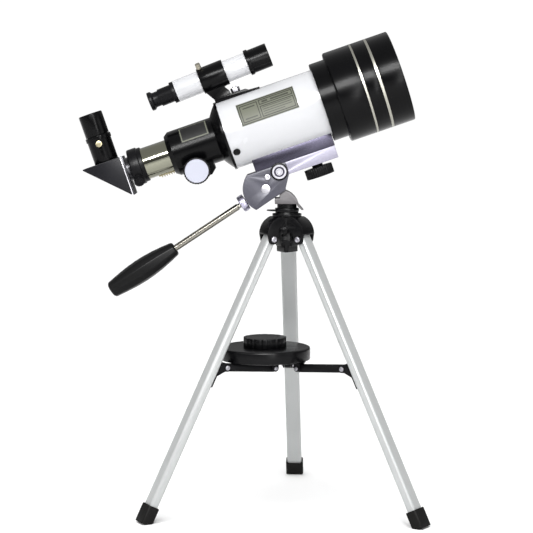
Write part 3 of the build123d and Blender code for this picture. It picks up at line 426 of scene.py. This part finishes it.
def diagonal_plate_finish():
    """The diagonal's mounting plate: dark plating, with a pale band painted on its edge towards the housing as a
    painted highlight.
    """
    material = finish("dark plated mounting plate", (0.035, 0.035, 0.04), (0.02, 0.02, 0.023),
                      0.25, 0.2, metallic=0.6, grain=0.05)
    tree = material.node_tree
    along = tube_coordinates(tree)[0]
    # Painted highlight: a pale band painted on the plate where it meets the housing.
    second_color(material, math_node(tree, "LESS_THAN", along, PLATE_EDGE), EDGE_HIGHLIGHT_PAINT)
    return material


def platform_finish():
    """Slate grey cheeks at the rear, bright plating on the channel in front of them."""
    material = finish("slate grey casting", (0.048, 0.047, 0.07), (0.026, 0.026, 0.04), 0.42, 0.2,
                      metallic=0.15, grain=0.2, grain_scale=700, blotch_scale=55)
    tree = material.node_tree
    along = tube_coordinates(tree)[0]
    second_color(material, math_node(tree, "GREATER_THAN", along, CHEEK_FRONT), CHANNEL_PLATING)
    return material


dress(diagonal_plate_finish(), "diagonal_barrel")
dress(platform_finish(), "tilt_platform")

# ------------------------------------------------------------------ modelling tools


SHARP_ANGLE = 32.0
BEVEL_SEGMENTS = 2
SAME_POINT = 0.01
SAME_PLANE = 0.8


def only(piece):
    """Select this piece alone and make it active."""
    bpy.ops.object.select_all(action="DESELECT")
    piece.select_set(True)
    bpy.context.view_layer.objects.active = piece


def belongs(piece, body, material):
    """Give a finished piece its body and its material."""
    piece.data.materials.clear()
    piece.data.materials.append(material)
    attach(piece, body)
    return piece


def rounded_edges(piece, width, sharp=SHARP_ANGLE):
    """Round every sharp edge of a piece by a small width in millimetres."""
    only(piece)
    bevel = piece.modifiers.new("rounded edges", "BEVEL")
    bevel.width = width * MM
    bevel.segments = BEVEL_SEGMENTS
    bevel.limit_method = "ANGLE"
    bevel.angle_limit = math.radians(sharp)
    bevel.use_clamp_overlap = False
    bpy.ops.object.modifier_apply(modifier=bevel.name)
    bpy.ops.object.shade_smooth_by_angle(angle=math.radians(sharp))


def softened(node, width):
    """A CAD node's own shape with rounded edges, which stands for the node in the node's own finish."""
    piece = bpy.data.objects.new(node + "_rounded", nodes[node].data.copy())
    bpy.context.scene.collection.objects.link(piece)
    only(piece)
    bpy.ops.object.mode_set(mode="EDIT")
    bpy.ops.mesh.select_all(action="SELECT")
    bpy.ops.mesh.remove_doubles(threshold=SAME_POINT * MM)
    bpy.ops.mesh.dissolve_limited(angle_limit=math.radians(SAME_PLANE))
    bpy.ops.object.mode_set(mode="OBJECT")
    rounded_edges(piece, width)
    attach(piece, body_of[node])
    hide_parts(node)
    return piece


def turned(name, start, direction, outline, sides):
    """A turned solid: each ring is extruded from the last. Outline: (height, radius) in millimetres."""
    bpy.ops.object.select_all(action="DESELECT")
    height, radius = outline[0]
    bpy.ops.mesh.primitive_circle_add(vertices=sides, radius=radius * MM, fill_type="NGON")
    piece = bpy.context.object
    piece.name = name
    bpy.ops.object.mode_set(mode="EDIT")
    bpy.ops.mesh.select_all(action="SELECT")
    bpy.ops.transform.translate(value=(0, 0, height * MM))
    for (low, old), (high, new) in zip(outline, outline[1:]):
        bpy.ops.mesh.extrude_region_move(TRANSFORM_OT_translate={"value": (0, 0, (high - low) * MM)})
        bpy.ops.transform.resize(value=(new / old, new / old, 1), center_override=(0, 0, high * MM))
    bpy.ops.mesh.select_all(action="SELECT")
    bpy.ops.mesh.normals_make_consistent(inside=False)
    bpy.ops.object.mode_set(mode="OBJECT")
    piece.matrix_world = Matrix.LocRotScale(Vector(start), direction.to_track_quat("Z", "Y"), None)
    only(piece)
    bpy.ops.object.transform_apply(location=True, rotation=True, scale=True)
    return piece


def smooth(piece, sharp=SHARP_ANGLE):
    """Smooth shading, with edges sharper than this kept."""
    only(piece)
    bpy.ops.object.shade_smooth_by_angle(angle=math.radians(sharp))
    return piece


# ------------------------------------------------------------------ pieces with rounded edges

# How wide each piece's rounded edges are, in millimetres.
EDGE_WIDTHS = {"crown": 0.6, "pan_neck": 0.5, "pan_lever": 0.35, "tilt_platform": 0.4,
               "tube_saddle": 0.35, "tray": 0.9, "tray_knob": 0.25, "hub": 0.2, "mount_knob": 0.4,
               "adapter_ring": 0.3, "diagonal_housing": 0.3, "diagonal_barrel": 0.25,
               "diagonal_socket": 0.2, "eyepiece": 0.3, "finder_bracket": 0.35, "finder_tube": 0.2,
               "finder_hood": 0.3, "finder_eyepiece": 0.3, "handle_ferrule": 0.35, "lock_pin": 0.35,
               "stop_screw": 0.3, "tilt_washer": 0.2, "focus_knobs": 0.3, "dew_shield": 0.3,
               "flange_screws": 0.25, "finder_nut": 0.3, "adapter_screw": 0.25, "socket_screw": 0.25}
for name in (BACK, LEFT, RIGHT):
    EDGE_WIDTHS["leg_" + name] = 0.35
    EDGE_WIDTHS["foot_cap_" + name] = 0.7
    EDGE_WIDTHS["brace_" + name] = 0.6
    EDGE_WIDTHS["brace_bracket_" + name] = 0.25
for node, width in EDGE_WIDTHS.items():
    softened(node, width)

# ------------------------------------------------------------------ focus knob faces

KNOB_FACE_R = 11.9
KNOB_FACE_DEEP = 0.75
KNOB_FACE_SIDES = 96
KNOB_FACE_OUTLINE = ((-0.2, KNOB_FACE_R - 0.1), (0.35, KNOB_FACE_R), (0.6, KNOB_FACE_R - 0.3),
                     (0.62, KNOB_FACE_R - 1.2), (0.5, 2.0))
knob_low, knob_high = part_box("focus_knobs")
focus_axis = joint_point("focus_turn")
for face_name, side, face_at in (("knob_face_near", NEAR, knob_low.y),
                                 ("knob_face_far", -NEAR, knob_high.y)):
    seat = Vector((focus_axis.x, face_at, focus_axis.z)) - side * KNOB_FACE_DEEP * MM
    face = turned(face_name, seat, side, KNOB_FACE_OUTLINE, KNOB_FACE_SIDES)
    belongs(smooth(face), "focus_shaft", knob_grey)

# ------------------------------------------------------------------ handle grip

GRIP_OUTLINE = ((111.1, 6.2), (112.2, 7.3), (122.0, 9.1), (133.0, 10.7), (144.0, 11.6), (153.0, 11.85),
                (164.0, 11.4), (176.0, 10.2), (187.2, 8.7), (188.8, 8.3), (190.3, 6.3))
GRIP_SIDES = 10
GRIP_EDGE = 0.45
GRIP_SHARP = 16.0
handle_start = joint_point("handle_twist")
grip = turned("faceted_grip", handle_start, joint_axis("handle_twist"), GRIP_OUTLINE, GRIP_SIDES)
rounded_edges(grip, GRIP_EDGE, GRIP_SHARP)
belongs(grip, "handle", grip_plastic)
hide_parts("handle_grip")

# ------------------------------------------------------------------ screw heads

HEAD_SIDES = 36
HEAD_SHARP = 30.0
RIM_WIDTH = 0.25
SOCKET_CHAMFER = 0.04
SOCKET_DEPTH = 0.5


def recessed_head(name, place, direction, radius, height, body, material):
    """A pan head with a rounded rim and a round recess sunk into it; sizes in millimetres."""
    outline = ((-0.1, radius * 0.96), (height * 0.45, radius), (height * 0.85, radius * 0.9),
               (height, radius * 0.7))
    head = turned(name, place, direction, outline, HEAD_SIDES)
    only(head)
    bpy.ops.object.mode_set(mode="EDIT")
    bpy.ops.mesh.select_all(action="DESELECT")
    bpy.ops.object.mode_set(mode="OBJECT")
    top = max(head.data.polygons, key=lambda face: (face.center - place).dot(direction))
    top.select = True
    bpy.ops.object.mode_set(mode="EDIT")
    bpy.ops.mesh.inset(thickness=radius * RIM_WIDTH * MM, depth=0)
    bpy.ops.mesh.inset(thickness=radius * SOCKET_CHAMFER * MM, depth=-height * SOCKET_DEPTH * MM)
    bpy.ops.object.mode_set(mode="OBJECT")
    smooth(head, HEAD_SHARP)
    return belongs(head, body, material)


def head_pair(name, middle, axle, out, radius, height, body):
    """Two bright heads on the ends of an axle, this far out from its middle."""
    for side, sense in (("_a", 1), ("_b", -1)):
        end = middle + axle * sense * out * MM
        recessed_head(name + side, end, axle * sense, radius, height, body, bright_zinc)


HINGE_HEAD_OUT = 11.3
for name in (BACK, LEFT, RIGHT):
    hinge = joint_point("fold_" + name)
    head_pair("hinge_head_" + name, hinge, joint_axis("fold_" + name), HINGE_HEAD_OUT, 3.1, 1.9, "stand")

PIVOT_HEAD_OUT = 5.2
HUB_PIVOT_R = 15.0
HUB_EAR_R = 3.5
hub_pivot_height = Vector((0, 0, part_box("hub")[0].z + HUB_EAR_R * MM))
for name in (BACK, LEFT, RIGHT):
    pivot = joint_point("brace_turn_" + name)
    pin = joint_axis("brace_turn_" + name)
    outward = Vector((pivot.x, pivot.y, 0)).normalized()
    hub_pivot = outward * HUB_PIVOT_R * MM + hub_pivot_height
    head_pair("bracket_rivet_" + name, pivot, pin, PIVOT_HEAD_OUT, 2.5, 1.3, "leg_" + name)
    head_pair("hub_rivet_" + name, hub_pivot, pin, PIVOT_HEAD_OUT, 2.1, 1.1, "hub")

BOSS_AZIMUTH = math.radians(257.0)
BOSS_HEAD_AT = 17.0
BOSS_ABOVE_HINGE = 8.6
boss_out = Vector((math.cos(BOSS_AZIMUTH), math.sin(BOSS_AZIMUTH), 0))
boss_height = joint_point("fold_back").z + BOSS_ABOVE_HINGE * MM
boss_at = boss_out * BOSS_HEAD_AT * MM + Vector((0, 0, boss_height))
recessed_head("boss_screw", boss_at, boss_out, 3.0, 1.4, "stand", black_moulding)

TILT_HEAD_OUT = 19.0
TILT_RECESS_OUT = 18.0
tilt_at = joint_point("tilt")
RIM_OUTLINE = ((-0.3, 7.2), (0.25, 7.3), (0.55, 6.9), (0.55, 5.6), (0.3, 5.2), (-0.2, 5.1))
BUTTON_OUTLINE = ((-0.1, 2.7), (0.9, 2.7), (1.3, 2.3), (1.3, 1.3), (0.4, 1.1))
# Bright rim and button over the dark tilt bolt; the bolt showing between them is painted shade in the recess.
for name, out, outline, sides in (("bolt_rim", TILT_HEAD_OUT, RIM_OUTLINE, 64),
                                  ("bolt_button", TILT_RECESS_OUT, BUTTON_OUTLINE, 48)):
    bolt_part = turned(name, tilt_at + NEAR * out * MM, NEAR, outline, sides)
    belongs(smooth(bolt_part, HEAD_SHARP), "tube", bright_zinc)

# ------------------------------------------------------------------ floor, light and camera

FLOOR_SIZE = 12.0
bpy.ops.object.select_all(action="DESELECT")
bpy.ops.mesh.primitive_plane_add(size=FLOOR_SIZE, location=(0, 0, 0))
floor = bpy.context.object
floor.name = "floor"
floor_paint = finish("pale floor", (0.93, 0.93, 0.93), (0.925, 0.925, 0.925), 0.7, 0.05, grain=0.02,
                     grain_scale=200, blotch_scale=3)
floor.data.materials.append(floor_paint)

WORLD_LOW = 0.14
WORLD_HIGH = 0.62
WORLD_SEEN = 1.02
DOME_FOOT = 0.05
DOME_TOP = 0.6
world = bpy.data.worlds.new("studio")
bpy.context.scene.world = world
world.use_nodes = True
backdrop = world.node_tree.nodes["Background"]
backdrop.inputs["Color"].default_value = (1, 1, 1, 1)
sky = world.node_tree
direction = sky.nodes.new("ShaderNodeTexCoord")
height = sky.nodes.new("ShaderNodeSeparateXYZ")
sky.links.new(direction.outputs["Generated"], height.inputs["Vector"])
dome = sky.nodes.new("ShaderNodeMapRange")
dome.interpolation_type = "SMOOTHSTEP"
dome.inputs["From Min"].default_value = DOME_FOOT
dome.inputs["From Max"].default_value = DOME_TOP
dome.inputs["To Min"].default_value = WORLD_LOW
dome.inputs["To Max"].default_value = WORLD_HIGH
sky.links.new(height.outputs["Z"], dome.inputs["Value"])
light_path = sky.nodes.new("ShaderNodeLightPath")
seen = sky.nodes.new("ShaderNodeMix")
sky.links.new(light_path.outputs["Is Camera Ray"], seen.inputs["Factor"])
sky.links.new(dome.outputs["Result"], seen.inputs["A"])
seen.inputs["B"].default_value = WORLD_SEEN
sky.links.new(seen.outputs["Result"], backdrop.inputs["Strength"])
bpy.context.scene.view_settings.view_transform = "Standard"


def aimed(lamp, place, aim, lengthways):
    """Put a lamp in its place, looking at a point, with its long side along a direction."""
    back = (Vector(place) - Vector(aim)).normalized()
    side = (lengthways - back * lengthways.dot(back)).normalized()
    turn = Matrix((side, back.cross(side), back)).transposed()
    lamp.matrix_world = Matrix.LocRotScale(Vector(place), turn, None)


def soft_box(name, place, aim, long, short, watts, lengthways=ALONG, sheen=False):
    """A rectangular soft box that looks at a point; sheen keeps it to the gloss alone."""
    light = bpy.data.lights.new(name, "AREA")
    light.shape = "RECTANGLE"
    light.size = long
    light.size_y = short
    light.energy = watts
    lamp = bpy.data.objects.new(name, light)
    bpy.context.scene.collection.objects.link(lamp)
    lamp.visible_diffuse = not sheen
    aimed(lamp, place, aim, lengthways)


def even_light(name, toward, strength, spread):
    """A wide even light from far away, which lights the whole floor alike."""
    light = bpy.data.lights.new(name, "SUN")
    light.energy = strength
    light.angle = math.radians(spread)
    lamp = bpy.data.objects.new(name, light)
    bpy.context.scene.collection.objects.link(lamp)
    lamp.visible_glossy = False
    aimed(lamp, Vector((0, 0, 2)), Vector((0, 0, 2)) + Vector(toward), Vector((1, 0, 0)))


UPRIGHT = Vector((0, 0, 1))
TUBE_LAMP = ((-0.1, -1.5, 1.2), (0.02, 0, 0.4))
UPRIGHT_LAMP = ((0.5, -1.6, 0.6), (-0.05, 0, 0.35))
MIDDLE = (0, 0, 0.3)
even_light("even light", (0.1, 0.3, -1.0), 2.1, 50)
soft_box("tube light", *TUBE_LAMP, 1.2, 0.26, 13)
soft_box("upright light", *UPRIGHT_LAMP, 1.0, 0.16, 4, UPRIGHT)
soft_box("tube sheen", *TUBE_LAMP, 1.2, 0.3, 95, sheen=True)
soft_box("upright sheen", *UPRIGHT_LAMP, 1.0, 0.12, 12, UPRIGHT, sheen=True)
soft_box("fill light", (1.7, -0.9, 0.7), MIDDLE, 1.0, 1.0, 5)
soft_box("left light", (-1.5, -1.1, 0.9), MIDDLE, 0.5, 1.0, 6, UPRIGHT)

CAMERA_PLACE = (-0.0209, -1.772, 0.426)
CAMERA_DOWN = 5.65
CAMERA_LENS = 117.3
camera_data = bpy.data.cameras.new("camera")
camera_data.sensor_width = 36.0
camera_data.lens = CAMERA_LENS
camera = bpy.data.objects.new("camera", camera_data)
bpy.context.scene.collection.objects.link(camera)
camera.location = CAMERA_PLACE
camera.rotation_euler = (math.radians(90 - CAMERA_DOWN), 0, 0)
bpy.context.scene.camera = camera
